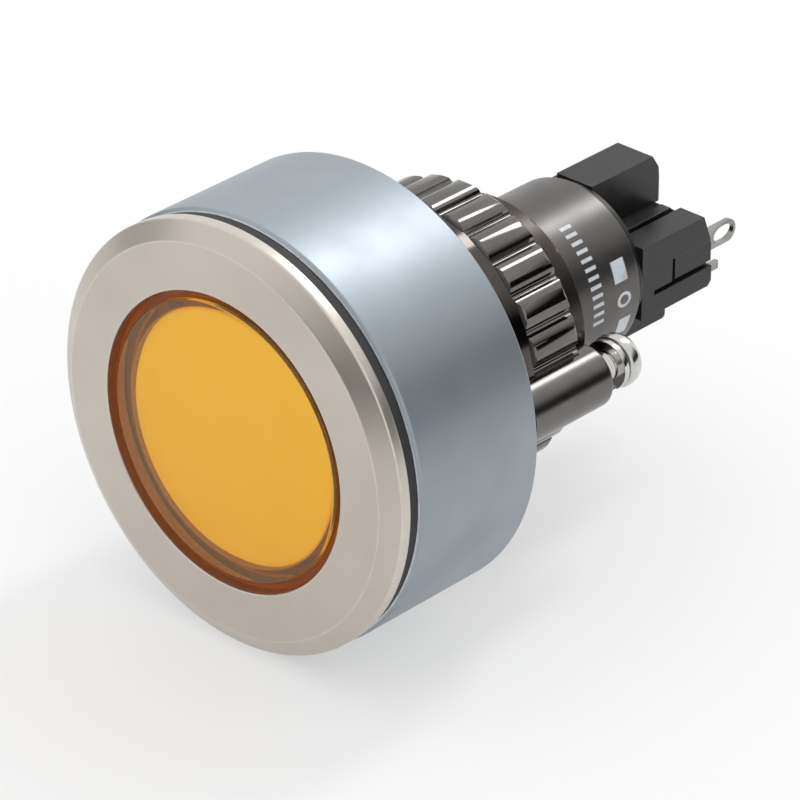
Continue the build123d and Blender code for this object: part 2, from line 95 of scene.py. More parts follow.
def round_edges(piece, width, segments=3, limit=30):
    """Round the edges that are sharper than the limit, and shade the piece smooth between its flats."""
    bpy.ops.object.select_all(action="DESELECT")
    piece.select_set(True)
    bpy.context.view_layer.objects.active = piece
    bpy.ops.object.shade_smooth()
    rounding = piece.modifiers.new("rounding", "BEVEL")
    rounding.width = width * MM
    rounding.segments = segments
    rounding.limit_method = "ANGLE"
    rounding.angle_limit = math.radians(limit)
    rounding.harden_normals = False
    bpy.ops.object.modifier_apply(modifier=rounding.name)
    bpy.ops.object.shade_smooth_by_angle(angle=math.radians(42))
    flats = piece.modifiers.new("flats", "WEIGHTED_NORMAL")
    flats.keep_sharp = True
    bpy.ops.object.modifier_apply(modifier=flats.name)
    return piece


def fit_piece(piece, node, body, material):
    """Give a finished piece its material and let it stand for its node."""
    piece.data.materials.clear()
    piece.data.materials.append(material)
    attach(piece, body)
    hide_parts(node)


def new_group(name, inputs, outputs):
    """A node group with number inputs, a vector input named Coordinates, and the given outputs."""
    group = bpy.data.node_groups.new(name, "ShaderNodeTree")
    group.interface.new_socket("Coordinates", in_out="INPUT", socket_type="NodeSocketVector")
    for socket_name in inputs:
        group.interface.new_socket(socket_name, in_out="INPUT", socket_type="NodeSocketFloat")
    for socket_name in outputs:
        group.interface.new_socket(socket_name, in_out="OUTPUT", socket_type="NodeSocketFloat")
    return group, group.nodes.new("NodeGroupInput"), group.nodes.new("NodeGroupOutput")


def add_math(tree, operation, first, second):
    """A sum on two values, each a number or a socket."""
    node = tree.nodes.new("ShaderNodeMath")
    node.operation = operation
    for socket, value in zip(node.inputs, (first, second)):
        if isinstance(value, (int, float)):
            socket.default_value = value
        else:
            tree.links.new(value, socket)
    return node.outputs[0]


def object_coordinates(tree):
    """A point's place on its piece, as a vector socket in metres."""
    return tree.nodes.new("ShaderNodeTexCoord").outputs["Object"]


def split_axes(tree, coordinates):
    """The X, Y and Z of a point, as number sockets in metres."""
    split = tree.nodes.new("ShaderNodeSeparateXYZ")
    tree.links.new(coordinates, split.inputs[0])
    return split.outputs


def distance_off_axis(tree, coordinates):
    """How far a point lies from the lamp's axis, as a number socket in metres."""
    axes = split_axes(tree, coordinates)
    across = add_math(tree, "POWER", axes["X"], 2)
    upward = add_math(tree, "POWER", axes["Z"], 2)
    return add_math(tree, "SQRT", add_math(tree, "ADD", across, upward), 0)


# Fine grain: cells of bead blasting or moulding, and a slow change of tone over the surface
grain, grain_in, grain_out = new_group("fine_grain", ["Cells", "Patches"], ["Height", "Tone"])
grain_cells = grain.nodes.new("ShaderNodeTexNoise")
grain_cells.inputs["Detail"].default_value = 2
grain.links.new(grain_in.outputs["Coordinates"], grain_cells.inputs["Vector"])
grain.links.new(grain_in.outputs["Cells"], grain_cells.inputs["Scale"])
grain.links.new(grain_cells.outputs["Fac"], grain_out.inputs["Height"])
grain_patches = grain.nodes.new("ShaderNodeTexNoise")
grain_patches.inputs["Detail"].default_value = 4
grain.links.new(grain_in.outputs["Coordinates"], grain_patches.inputs["Vector"])
grain.links.new(grain_in.outputs["Patches"], grain_patches.inputs["Scale"])
grain.links.new(grain_patches.outputs["Fac"], grain_out.inputs["Tone"])

# Edge wear and painted highlight: a narrow, broken band at one distance from the lamp's axis, painted lighter
# both where handling has polished an edge and as a painted highlight along it
wear_and_highlight, wear_in, wear_out = new_group("edge_wear_and_highlight", ["Radius", "Width"], ["Mask"])
wear_off_axis = distance_off_axis(wear_and_highlight, wear_in.outputs["Coordinates"])
wear_miss = add_math(wear_and_highlight, "SUBTRACT", wear_off_axis, wear_in.outputs["Radius"])
wear_miss = add_math(wear_and_highlight, "ABSOLUTE", wear_miss, 0)
wear_and_highlight_band = add_math(wear_and_highlight, "SUBTRACT", 1, add_math(wear_and_highlight, "DIVIDE", wear_miss, wear_in.outputs["Width"]))
wear_noise = wear_and_highlight.nodes.new("ShaderNodeTexNoise")
wear_noise.inputs["Scale"].default_value = 900
wear_and_highlight.links.new(wear_in.outputs["Coordinates"], wear_noise.inputs["Vector"])
broken_wear_and_highlight = add_math(wear_and_highlight, "MULTIPLY", wear_noise.outputs[0], 1.6)
wear_and_highlight_mask = wear_and_highlight.nodes.new("ShaderNodeClamp")
wear_and_highlight.links.new(add_math(wear_and_highlight, "MULTIPLY", wear_and_highlight_band, broken_wear_and_highlight), wear_and_highlight_mask.inputs[0])
wear_and_highlight.links.new(wear_and_highlight_mask.outputs[0], wear_out.inputs["Mask"])


def place_group(tree, group, coordinates, **values):
    """A use of a shared group, with its number inputs set by name."""
    node = tree.nodes.new("ShaderNodeGroup")
    node.node_tree = group
    tree.links.new(coordinates, node.inputs["Coordinates"])
    for socket_name, value in values.items():
        node.inputs[socket_name].default_value = value
    return node


def mix_colours(tree, share, first, second):
    """A colour between two, each a colour value or a socket, by a number socket."""
    node = tree.nodes.new("ShaderNodeMix")
    node.data_type = "RGBA"
    tree.links.new(share, node.inputs["Factor"])
    for socket, value in ((node.inputs[6], first), (node.inputs[7], second)):
        if isinstance(value, tuple):
            socket.default_value = (*value, 1)
        else:
            tree.links.new(value, socket)
    return node.outputs[2]


def spread(tree, value, low, high, to_low, to_high):
    """Stretch a number socket from one range to another."""
    node = tree.nodes.new("ShaderNodeMapRange")
    tree.links.new(value, node.inputs["Value"])
    ends = {"From Min": low, "From Max": high, "To Min": to_low, "To Max": to_high}
    for socket_name, number in ends.items():
        node.inputs[socket_name].default_value = number
    return node.outputs["Result"]


wear_and_highlight_width = 0.12


def surface_finish(name, colour, shade, roughness, metallic, cells, depth, patches=160, worn_and_highlight=None, edges=()):
    """A finish of two near tones with a fine grain: cells and patches per metre, and a depth in metres.

    Its edges at the given distances off the lamp's axis, in millimetres, are painted a lighter colour of
    their own: partly wear, partly a painted highlight.
    """
    material = bpy.data.materials.new(name)
    material.use_nodes = True
    tree = material.node_tree
    shader = tree.nodes["Principled BSDF"]
    shader.inputs["Metallic"].default_value = metallic
    coordinates = object_coordinates(tree)
    texture = place_group(tree, grain, coordinates, Cells=cells, Patches=patches)
    tone = spread(tree, texture.outputs["Tone"], 0.35, 0.65, 0, 1)
    tones = mix_colours(tree, tone, colour, shade)
    # Each edge band is painted lighter, partly as wear and partly as a painted highlight
    for radius in edges:
        wear_and_highlight_edge = place_group(tree, wear_and_highlight, coordinates, Radius=radius * MM, Width=wear_and_highlight_width * MM)
        tones = mix_colours(tree, wear_and_highlight_edge.outputs["Mask"], tones, worn_and_highlight)
    tree.links.new(tones, shader.inputs["Base Color"])
    gloss = spread(tree, texture.outputs["Tone"], 0.3, 0.7, *roughness)
    tree.links.new(gloss, shader.inputs["Roughness"])
    bump = tree.nodes.new("ShaderNodeBump")
    bump.inputs["Distance"].default_value = depth
    bump.inputs["Strength"].default_value = 1.0
    tree.links.new(texture.outputs["Height"], bump.inputs["Height"])
    tree.links.new(bump.outputs["Normal"], shader.inputs["Normal"])
    return material


champagne = surface_finish("champagne_anodised", (0.60, 0.550, 0.490), (0.57, 0.522, 0.465),
                           (0.33, 0.40), 1.0, 9000, 0.0000022, 120,
                           worn_and_highlight=(0.70, 0.655, 0.595), edges=(14.95, 19.65, 21.45))
ring_corners = [
    (14.93, -19.4),
    (19.65, -19.4),
    (21.5, -18.2),
    (21.5, -17.1),
    (18.1, -17.1),
    (18.1, -5.4),
    (16.1, -5.4),
    (16.1, -11.8),
    (13.73, -11.8),
    (13.73, -12.6),
    (14.93, -12.6),
]
front_ring = round_edges(turn_outline("turned_front_ring", ring_corners, steps=180), 0.12, limit=25)
fit_piece(front_ring, "front_ring", "housing", champagne)


# The gasket is a flat ring cut from black rubber sheet.
# The front ring and the collar squeeze it between them, and it shows as a dark line set a little inside both.
rubber_black = surface_finish("cut_black_rubber", (0.018, 0.018, 0.02), (0.03, 0.03, 0.032),
                              (0.55, 0.75), 0.0, 6000, 0.000012)
gasket_corners = [(18.15, -17.1), (21.25, -17.1), (21.25, -15.9), (18.15, -15.9)]
gasket = round_edges(turn_outline("flat_ring_gasket", gasket_corners), 0.2)
fit_piece(gasket, "ring_gasket", "housing", rubber_black)


# The lens is moulded in clear amber plastic: a cap with a polished face, a fine ring moulded in it,
# and a frosted skirt that slides in the ring's bore. A groove in the skirt holds the sealing cord.
amber = bpy.data.materials.new("clear_amber")
amber.use_nodes = True
amber_tree = amber.node_tree
amber_shader = amber_tree.nodes["Principled BSDF"]
amber_shader.inputs["Transmission Weight"].default_value = 0.95
amber_shader.inputs["IOR"].default_value = 1.43
amber_shader.inputs["Specular IOR Level"].default_value = 0.18
amber_coordinates = object_coordinates(amber_tree)
amber_texture = place_group(amber_tree, grain, amber_coordinates, Cells=260, Patches=220)
amber_tone = spread(amber_tree, amber_texture.outputs["Tone"], 0.35, 0.65, 0, 1)
amber_middle = mix_colours(amber_tree, amber_tone, (0.98, 0.92, 0.24), (0.975, 0.91, 0.22))
# Where the skirt lies deep in the ring's bore, the lens is frosted, tinted a darker brown and given a faint
# painted glow
amber_outside = spread(amber_tree, distance_off_axis(amber_tree, amber_coordinates),
                       12.6 * MM, 12.9 * MM, 0, 1)
amber_behind = spread(amber_tree, split_axes(amber_tree, amber_coordinates)["Y"],
                      -19.0 * MM, -18.8 * MM, 0, 1)
amber_rim_frost_and_painted_glow = add_math(amber_tree, "MULTIPLY", amber_outside, amber_behind)
amber_tree.links.new(mix_colours(amber_tree, amber_rim_frost_and_painted_glow, amber_middle, (0.86, 0.46, 0.20)),
                     amber_shader.inputs["Base Color"])
# Painted glow: the rim emits a faint orange light of its own
amber_tree.links.new(mix_colours(amber_tree, amber_rim_frost_and_painted_glow, (0, 0, 0), (0.024, 0.008, 0.003)),
                     amber_shader.inputs["Emission Color"])
amber_shader.inputs["Emission Strength"].default_value = 1.0
amber_polish = spread(amber_tree, amber_texture.outputs["Tone"], 0.3, 0.7, 0.02, 0.07)
amber_frost = add_math(amber_tree, "MULTIPLY", amber_rim_frost_and_painted_glow, 0.35)
amber_tree.links.new(add_math(amber_tree, "ADD", amber_polish, amber_frost), amber_shader.inputs["Roughness"])
amber_bump = amber_tree.nodes.new("ShaderNodeBump")
amber_bump.inputs["Distance"].default_value = 0.000003
amber_tree.links.new(amber_texture.outputs["Height"], amber_bump.inputs["Height"])
amber_tree.links.new(amber_bump.outputs["Normal"], amber_shader.inputs["Normal"])
amber_path = amber_tree.nodes.new("ShaderNodeLightPath")
amber_clear = amber_tree.nodes.new("ShaderNodeBsdfTransparent")
amber_clear.inputs["Color"].default_value = (0.98, 0.9, 0.7, 1)
amber_mix = amber_tree.nodes.new("ShaderNodeMixShader")
amber_tree.links.new(amber_path.outputs["Is Shadow Ray"], amber_mix.inputs["Fac"])
amber_tree.links.new(amber_shader.outputs["BSDF"], amber_mix.inputs[1])
amber_tree.links.new(amber_clear.outputs["BSDF"], amber_mix.inputs[2])
amber_tree.links.new(amber_mix.outputs["Shader"], amber_tree.nodes["Material Output"].inputs["Surface"])
amber_body = amber_tree.nodes.new("ShaderNodeVolumeAbsorption")
amber_body.inputs["Color"].default_value = (0.975, 0.84, 0.3, 1)
amber_body.inputs["Density"].default_value = 500
amber_tree.links.new(amber_body.outputs["Volume"], amber_tree.nodes["Material Output"].inputs["Volume"])

lens_corners = [
    (0, -19.2),
    (10.7, -19.2),
    (11.4, -19.1),
    (13.85, -19.1),
    (14.1, -18.85),
    (14.1, -18.2),
    (14.85, -18.2),
    (14.85, -15.49),
    (13.95, -15.49),
    (13.95, -14.51),
    (14.85, -14.51),
    (14.85, -12.8),
    (13.0, -12.8),
    (13.0, -17.4),
    (0, -17.4),
]
lens = round_edges(turn_outline("moulded_lens", lens_corners, closed=False, steps=160), 0.08)
fit_piece(lens, "lens", "lens", amber)


# The lens seal is a round cord of brown silicone, stretched into the groove of the lens's skirt.
# It rubs in the ring's bore and keeps the front splash-proof.
silicone = surface_finish("brown_silicone", (0.16, 0.06, 0.025), (0.12, 0.045, 0.02),
                          (0.35, 0.5), 0.0, 3000, 0.000006)
cord_radius = 0.45
cord_sides = 16
cord_corners = []
for side in range(cord_sides):
    turn = side * math.tau / cord_sides
    cord_corners.append((14.4 + cord_radius * math.cos(turn), -15.0 + cord_radius * math.sin(turn)))
lens_seal = turn_outline("silicone_lens_seal", cord_corners)
bpy.ops.object.shade_smooth()
fit_piece(lens_seal, "lens_seal", "lens", silicone)


# The diffuser is a shallow cup of translucent yellow plastic pressed into the back of the lens.
# It spreads the lamp's light and gives the front its even yellow. It carries a painted glow, and is painted
# more orange and a little darker towards the bottom as painted shade.
diffuser_yellow = surface_finish("translucent_yellow", (0.92, 0.68, 0.07), (0.90, 0.65, 0.05),
                                 (0.35, 0.5), 0.0, 2500, 0.000004, 70)
diffuser_tree = diffuser_yellow.node_tree
diffuser_shader = diffuser_tree.nodes["Principled BSDF"]
# Painted glow: the diffuser emits light of its own, though it is no lamp
diffuser_shader.inputs["Emission Strength"].default_value = 0.46
diffuser_axes = split_axes(diffuser_tree, object_coordinates(diffuser_tree))
# Painted shade: towards the bottom both the glow and the colour turn more orange and a little darker
diffuser_painted_shade_height = spread(diffuser_tree, diffuser_axes["Z"], -11 * MM, 8 * MM, 0, 1)
diffuser_painted_glow = mix_colours(diffuser_tree, diffuser_painted_shade_height, (0.86, 0.47, 0.0), (0.92, 0.60, 0.03))
diffuser_tree.links.new(diffuser_painted_glow, diffuser_shader.inputs["Emission Color"])
diffuser_tone = diffuser_shader.inputs["Base Color"].links[0].from_socket
diffuser_tone = mix_colours(diffuser_tree, diffuser_painted_shade_height, (0.90, 0.66, 0.0), diffuser_tone)
diffuser_tree.links.new(diffuser_tone, diffuser_shader.inputs["Base Color"])
diffuser_corners = [
    (0, -16.9),
    (10.6, -16.9),
    (11.1, -16.75),
    (12.8, -16.75),
    (12.95, -16.6),
    (12.95, -14.2),
    (12.15, -14.2),
    (12.15, -16.0),
    (0, -16.0),
]
diffuser = round_edges(turn_outline("yellow_diffuser", diffuser_corners, closed=False), 0.15)
fit_piece(diffuser, "diffuser", "lens", diffuser_yellow)


# The collar is a deep turned cup of blue-grey anodised aluminium that lifts the lamp off the panel.
# Both rims are chamfered, and a groove in its rear face holds the panel seal.
blue_grey = surface_finish("blue_grey_anodised", (0.365, 0.403, 0.437), (0.345, 0.383, 0.415),
                           (0.42, 0.50), 1.0, 9000, 0.0000015, 120, worn_and_highlight=(0.75, 0.79, 0.83), edges=(21.25,))
collar_corners = [
    (18.2, -15.9),
    (21.25, -15.9),
    (21.6, -15.55),
    (21.6, -0.35),
    (21.25, 0),
    (15.4, 0),
    (15.4, -1.0),
    (12.4, -1.0),
    (12.4, 0),
    (11.25, 0),
    (11.25, -3.4),
    (18.2, -3.4),
]
collar = round_edges(turn_outline("turned_collar", collar_corners, steps=180), 0.08)
fit_piece(collar, "collar", "housing", blue_grey)


# The panel seal is a black rubber ring pressed into that groove, flush with the rear face.
# The nut draws it against the panel, so that no water gets behind.
seal_corners = [(12.44, -0.96), (15.36, -0.96), (15.36, -0.02), (12.44, -0.02)]
panel_seal = round_edges(turn_outline("rubber_panel_seal", seal_corners), 0.22)
fit_piece(panel_seal, "panel_seal", "housing", rubber_black)


# The barrel passes through the panel. It is turned from brass and plated dark, threaded where the nut
# clamps and plain at its end, with a keyway along the bottom for the tab washer.
dark_plate = surface_finish("dark_plating", (0.075, 0.064, 0.057), (0.060, 0.051, 0.045),
                            (0.26, 0.36), 1.0, 7000, 0.0000015, 200)
thread_root = 10.62
barrel_corners = [
    (8.0, -5.4),
    (17.9, -5.4),
    (17.9, -3.4),
    (11.1, -3.4),
    (11.1, 0.3),
    (thread_root, 0.75),
    (thread_root, 13.4),
    (11.1, 13.9),
    (11.1, 18.3),
    (10.6, 18.8),
    (9.02, 18.8),
    (9.02, 3.0),
    (8.0, 3.0),
]
barrel = turn_outline("threaded_barrel", barrel_corners)
bpy.ops.object.select_all(action="DESELECT")
bpy.ops.mesh.primitive_cube_add(size=1, location=(0, 10 * MM, -11.3 * MM), scale=(2 * MM, 20 * MM, 2 * MM))
keyway_cutter = bpy.context.object


def cut_away(piece, cutter, operation="DIFFERENCE"):
    """Cut a piece with another, join it on, or keep what both share; the cutter is then removed."""
    bpy.ops.object.select_all(action="DESELECT")
    piece.select_set(True)
    bpy.context.view_layer.objects.active = piece
    cut = piece.modifiers.new("cut", "BOOLEAN")
    cut.operation = operation
    cut.object = cutter
    cut.solver = "EXACT"
    bpy.ops.object.modifier_apply(modifier=cut.name)
    bpy.data.objects.remove(cutter)


cut_away(barrel, keyway_cutter)
round_edges(barrel, 0.06)

# Each turn of the thread is broken at the keyway, which lies straight below the axis
thread_pitch = 1.0
thread_break = 14
thread_sweep = 360 - thread_break
thread_start = -90 - thread_break / 2
bpy.ops.object.select_all(action="DESELECT")
bpy.ops.mesh.primitive_plane_add(size=MM)
thread = bpy.context.object
thread.name = "barrel_thread"
bpy.ops.object.mode_set(mode="EDIT")
bpy.ops.mesh.select_all(action="SELECT")
bpy.ops.mesh.delete(type="ONLY_FACE")
bpy.ops.mesh.select_all(action="SELECT")
bpy.ops.mesh.merge(type="CENTER")
bpy.ops.transform.translate(value=((thread_root - 0.08) * MM, 1.0 * MM, 0))
for outward, along in ((0.55, 0.40), (0, 0.14), (-0.55, 0.40)):
    bpy.ops.mesh.extrude_region_move(TRANSFORM_OT_translate={"value": (outward * MM, along * MM, 0)})
bpy.ops.mesh.select_all(action="SELECT")
bpy.ops.mesh.edge_face_add()
bpy.ops.mesh.delete(type="ONLY_FACE")
bpy.ops.mesh.select_all(action="SELECT")
bpy.ops.transform.rotate(value=math.radians(thread_start), orient_axis="Y", center_override=(0, 0, 0))
bpy.ops.object.mode_set(mode="OBJECT")
helix = thread.modifiers.new("helix", "SCREW")
helix.axis = "Y"
helix.angle = math.radians(thread_sweep)
helix.screw_offset = thread_pitch * thread_sweep / 360 * MM
helix.steps = 120
helix.render_steps = 120
bpy.ops.object.modifier_apply(modifier=helix.name)
bpy.ops.object.mode_set(mode="EDIT")
bpy.ops.mesh.select_all(action="SELECT")
bpy.ops.mesh.fill_holes(sides=4)
bpy.ops.mesh.normals_make_consistent(inside=False)
bpy.ops.object.mode_set(mode="OBJECT")
turns = thread.modifiers.new("turns", "ARRAY")
turns.count = 12
turns.use_relative_offset = False
turns.use_constant_offset = True
turns.constant_offset_displace = (0, thread_pitch * MM, 0)
bpy.ops.object.modifier_apply(modifier=turns.name)
bpy.ops.object.shade_flat()
bpy.ops.object.select_all(action="DESELECT")
thread.select_set(True)
barrel.select_set(True)
bpy.context.view_layer.objects.active = barrel
bpy.ops.object.join()
fit_piece(barrel, "barrel", "housing", dark_plate)


# The rear body is the marked sleeve behind the barrel, turned and finished a satin dark brown-grey.
# Plain white marks are printed on it: a patch, a ring and a patch, and a scale of short ticks.
sleeve_finish = surface_finish("dark_sleeve_finish", (0.142, 0.134, 0.127), (0.120, 0.113, 0.107),
                               (0.30, 0.38), 1.0, 8000, 0.0000012, 180)
sleeve_tree = sleeve_finish.node_tree
sleeve_shader = sleeve_tree.nodes["Principled BSDF"]
sleeve_place = object_coordinates(sleeve_tree)
sleeve_axes = split_axes(sleeve_tree, sleeve_place)
sleeve_radius = 8.9
around = add_math(sleeve_tree, "ARCTAN2", sleeve_axes["Z"], sleeve_axes["X"])
around = add_math(sleeve_tree, "MULTIPLY", around, sleeve_radius)
along = add_math(sleeve_tree, "DIVIDE", sleeve_axes["Y"], MM)


def printed_patch(angle, place, half_width, half_length):
    """How far inside a plain printed patch a point lies, in millimetres."""
    beside = add_math(sleeve_tree, "SUBTRACT", around, math.radians(angle) * sleeve_radius)
    beside = add_math(sleeve_tree, "SUBTRACT", half_width, add_math(sleeve_tree, "ABSOLUTE", beside, 0))
    ahead = add_math(sleeve_tree, "SUBTRACT", along, place)
    ahead = add_math(sleeve_tree, "SUBTRACT", half_length, add_math(sleeve_tree, "ABSOLUTE", ahead, 0))
    return add_math(sleeve_tree, "MINIMUM", beside, ahead)


# The ring: how far inside its line a point lies; it is a little taller than wide
half_line = 0.19
beside_ring = add_math(sleeve_tree, "SUBTRACT", around, math.radians(1) * sleeve_radius)
beside_ring = add_math(sleeve_tree, "MULTIPLY", beside_ring, 1.2)
beside_ring = add_math(sleeve_tree, "MULTIPLY", beside_ring, beside_ring)
ahead_ring = add_math(sleeve_tree, "SUBTRACT", along, 26.6)
ahead_ring = add_math(sleeve_tree, "MULTIPLY", ahead_ring, ahead_ring)
ring_distance = add_math(sleeve_tree, "SQRT", add_math(sleeve_tree, "ADD", beside_ring, ahead_ring), 0)
ring_distance = add_math(sleeve_tree, "SUBTRACT", ring_distance, 0.78)
ring_distance = add_math(sleeve_tree, "ABSOLUTE", ring_distance, 0)
marks = add_math(sleeve_tree, "SUBTRACT", half_line, ring_distance)

# The two patches: angle, place, half width and half length
for patch in ((20.7, 26.4, 1.12, 0.92), (-20, 27.0, 1.08, 0.82)):
    marks = add_math(sleeve_tree, "MAXIMUM", marks, printed_patch(*patch))

# The scale: a tick every six degrees, within one wide patch
tick_step = math.radians(6) * sleeve_radius
nearest_tick = add_math(sleeve_tree, "DIVIDE", around, tick_step)
nearest_tick = add_math(sleeve_tree, "ROUND", nearest_tick, 0)
nearest_tick = add_math(sleeve_tree, "MULTIPLY", nearest_tick, tick_step)
tick = add_math(sleeve_tree, "SUBTRACT", around, nearest_tick)
tick = add_math(sleeve_tree, "SUBTRACT", half_line, add_math(sleeve_tree, "ABSOLUTE", tick, 0))
scale_patch = printed_patch(27, 22.9, math.radians(36) * sleeve_radius, 0.75)
marks = add_math(sleeve_tree, "MAXIMUM", marks, add_math(sleeve_tree, "MINIMUM", tick, scale_patch))
marks = spread(sleeve_tree, marks, -0.03, 0.03, 0, 1)

# The print is a little thin in places, and hides the metal where it lies
print_grain = place_group(sleeve_tree, grain, sleeve_place, Cells=2600, Patches=600)
print_cover = spread(sleeve_tree, print_grain.outputs["Tone"], 0.3, 0.5, 0.75, 1)
marks = add_math(sleeve_tree, "MULTIPLY", marks, print_cover)
sleeve_metal = sleeve_shader.inputs["Base Color"].links[0].from_socket
sleeve_tone = mix_colours(sleeve_tree, marks, sleeve_metal, (0.58, 0.63, 0.68))
sleeve_tree.links.new(sleeve_tone, sleeve_shader.inputs["Base Color"])
sleeve_tree.links.new(add_math(sleeve_tree, "SUBTRACT", 1, marks), sleeve_shader.inputs["Metallic"])
sleeve_corners = [
    (7.55, 3.0),
    (sleeve_radius, 3.0),
    (sleeve_radius, 28.85),
    (sleeve_radius - 0.25, 29.1),
    (1.2, 29.1),
    (1.2, 27.7),
    (7.55, 27.7),
]
sleeve = round_edges(turn_outline("marked_sleeve", sleeve_corners), 0.08)
fit_piece(sleeve, "rear_body", "housing", sleeve_finish)


# The terminal hub and the four blocks around it are moulded in fine-grained black plastic.
# The side blocks carry the terminals, and the upper and lower ones key the lamp in its socket.
black_plastic = surface_finish("moulded_black", (0.009, 0.009, 0.0085), (0.016, 0.015, 0.014),
                               (0.30, 0.42), 0.0, 5200, 0.00002, 400)
black_plastic.node_tree.nodes["Principled BSDF"].inputs["Specular IOR Level"].default_value = 0.42


def moulded_copy(node, name, edge, segments=3):
    """A copy of a node's solid, welded, with its flats made whole and its edges rounded."""
    piece = bpy.data.objects.new(name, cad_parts[node].data.copy())
    bpy.context.scene.collection.objects.link(piece)
    piece.data.name = name
    bpy.ops.object.select_all(action="DESELECT")
    piece.select_set(True)
    bpy.context.view_layer.objects.active = piece
    bpy.ops.mesh.customdata_custom_splitnormals_clear()
    bpy.ops.object.mode_set(mode="EDIT")
    bpy.ops.mesh.select_all(action="SELECT")
    bpy.ops.mesh.remove_doubles(threshold=0.001 * MM)
    bpy.ops.mesh.dissolve_limited(angle_limit=math.radians(0.5))
    bpy.ops.mesh.normals_make_consistent(inside=False)
    bpy.ops.object.mode_set(mode="OBJECT")
    return round_edges(piece, edge, segments)


for block_node in ("terminal_hub", "right_block", "left_block", "upper_block", "foot_block"):
    block = moulded_copy(block_node, "moulded_" + block_node, 0.18)
    fit_piece(block, block_node, "housing", black_plastic)


# The terminals are stamped from tinned brass strip and pressed into the side blocks.
# Two are solder tabs, whose large oval eye leaves a narrow rim, and two are short blades.
tinned = surface_finish("tinned_strip", (0.36, 0.35, 0.33), (0.29, 0.28, 0.265),
                        (0.18, 0.32), 1.0, 4000, 0.000006, 500)
tab_centre = 6.775
eye_place = 43.65
eye_height = 0.2
eye_half_length = 1.5
eye_half_width = 0.86
for tab_node in ("right_solder_tab", "left_solder_tab", "right_short_blade", "left_short_blade"):
    tab = moulded_copy(tab_node, "stamped_" + tab_node, 0.05, 2)
    if tab_node.endswith("solder_tab"):
        side = 1 if tab_node.startswith("right") else -1
        bpy.ops.mesh.primitive_cylinder_add(
            vertices=64,
            radius=1,
            depth=2 * MM,
            rotation=(0, math.pi / 2, 0),
            location=(side * tab_centre * MM, eye_place * MM, eye_height * MM),
        )
        eye = bpy.context.object
        bpy.ops.object.transform_apply(location=False, rotation=True, scale=False)
        eye.scale = (1, eye_half_length * MM, eye_half_width * MM)
        cut_away(tab, eye)
    fit_piece(tab, tab_node, "housing", tinned)


# The tab washer lies between the panel and the nut, stamped from steel and plated dark.
# A tongue in its bore runs in the barrel's keyway, so that it slides but doesn't turn.
washer = moulded_copy("tab_washer", "stamped_tab_washer", 0.06, 2)
fit_piece(washer, "tab_washer", "washer", dark_plate)


# The clamp nut is turned from brass: a plain flange in front, twenty-four broad flutes behind it, and a
# round boss at one side for the clamp screw, all plated in bright dark nickel.
nickel_black = surface_finish("bright_dark_nickel", (0.175, 0.166, 0.158), (0.155, 0.147, 0.140),
                              (0.09, 0.13), 1.0, 3000, 0.0000005, 260)
nickel_tree = nickel_black.node_tree
nickel_shader = nickel_tree.nodes["Principled BSDF"]
nickel_place = object_coordinates(nickel_tree)
nickel_off_axis = distance_off_axis(nickel_tree, nickel_place)

# The flange is duller and darker than the flutes, and the boss a little rougher
in_flange = spread(nickel_tree, nickel_off_axis, 14.2 * MM, 14.25 * MM, 1, 0)
in_front = spread(nickel_tree, split_axes(nickel_tree, nickel_place)["Y"], 7.72 * MM, 7.82 * MM, 1, 0)
on_flange = add_math(nickel_tree, "MULTIPLY", in_front, in_flange)
nickel_tone = nickel_shader.inputs["Base Color"].links[0].from_socket
nickel_tone = mix_colours(nickel_tree, on_flange, nickel_tone, (0.09, 0.079, 0.073))
nickel_tree.links.new(nickel_tone, nickel_shader.inputs["Base Color"])
on_boss = spread(nickel_tree, nickel_off_axis, 14.63 * MM, 14.75 * MM, 0, 0.13)
nickel_gloss = nickel_shader.inputs["Roughness"].links[0].from_socket
nickel_gloss = add_math(nickel_tree, "ADD", nickel_gloss, on_boss)
nickel_tree.links.new(nickel_gloss, nickel_shader.inputs["Roughness"])

# The flutes: a ring of points, each drawn in to its place on a round lobe or a round groove
flutes = 24
parts_per_flute = 32
tip_radius = 14.6
flange_radius = 14.15
lobe_radius = 2.35
groove_radius = 0.42
groove_place = 14.15
nut_front = 5.0
flutes_front = 7.8
nut_rear = 14.1
lobe_place = tip_radius - lobe_radius
half_pitch = math.pi / flutes
outline_place = flutes_front - 0.5
bpy.ops.object.select_all(action="DESELECT")
bpy.ops.mesh.primitive_circle_add(vertices=flutes * parts_per_flute, radius=tip_radius * MM,
                                  rotation=(math.pi / 2, 0, 0), location=(0, outline_place * MM, 0))
nut = bpy.context.object
nut.name = "fluted_nut"
nut.data.name = "fluted_nut"
bpy.ops.object.transform_apply(location=True, rotation=True, scale=True)
for part in range(1, parts_per_flute // 2 + 1):
    off_lobe = part * 2 * half_pitch / parts_per_flute
    off_groove = half_pitch - off_lobe
    rise = math.sqrt(lobe_radius ** 2 - (lobe_place * math.sin(off_lobe)) ** 2)
    wanted = lobe_place * math.cos(off_lobe) + rise
    if groove_place * math.sin(off_groove) < groove_radius:
        fall = math.sqrt(groove_radius ** 2 - (groove_place * math.sin(off_groove)) ** 2)
        wanted = min(wanted, groove_place * math.cos(off_groove) - fall)
    bpy.ops.object.mode_set(mode="EDIT")
    bpy.ops.mesh.select_all(action="DESELECT")
    bpy.ops.object.mode_set(mode="OBJECT")
    for vertex in nut.data.vertices:
        phase = math.atan2(vertex.co.z, vertex.co.x) / (2 * half_pitch) * parts_per_flute
        phase = round(phase) % parts_per_flute
        vertex.select = min(phase, parts_per_flute - phase) == part
    bpy.ops.object.mode_set(mode="EDIT")
    share = wanted / tip_radius
    bpy.ops.transform.resize(value=(share, 1, share), center_override=(0, outline_place * MM, 0))
bpy.ops.mesh.select_all(action="SELECT")
bpy.ops.mesh.edge_face_add()
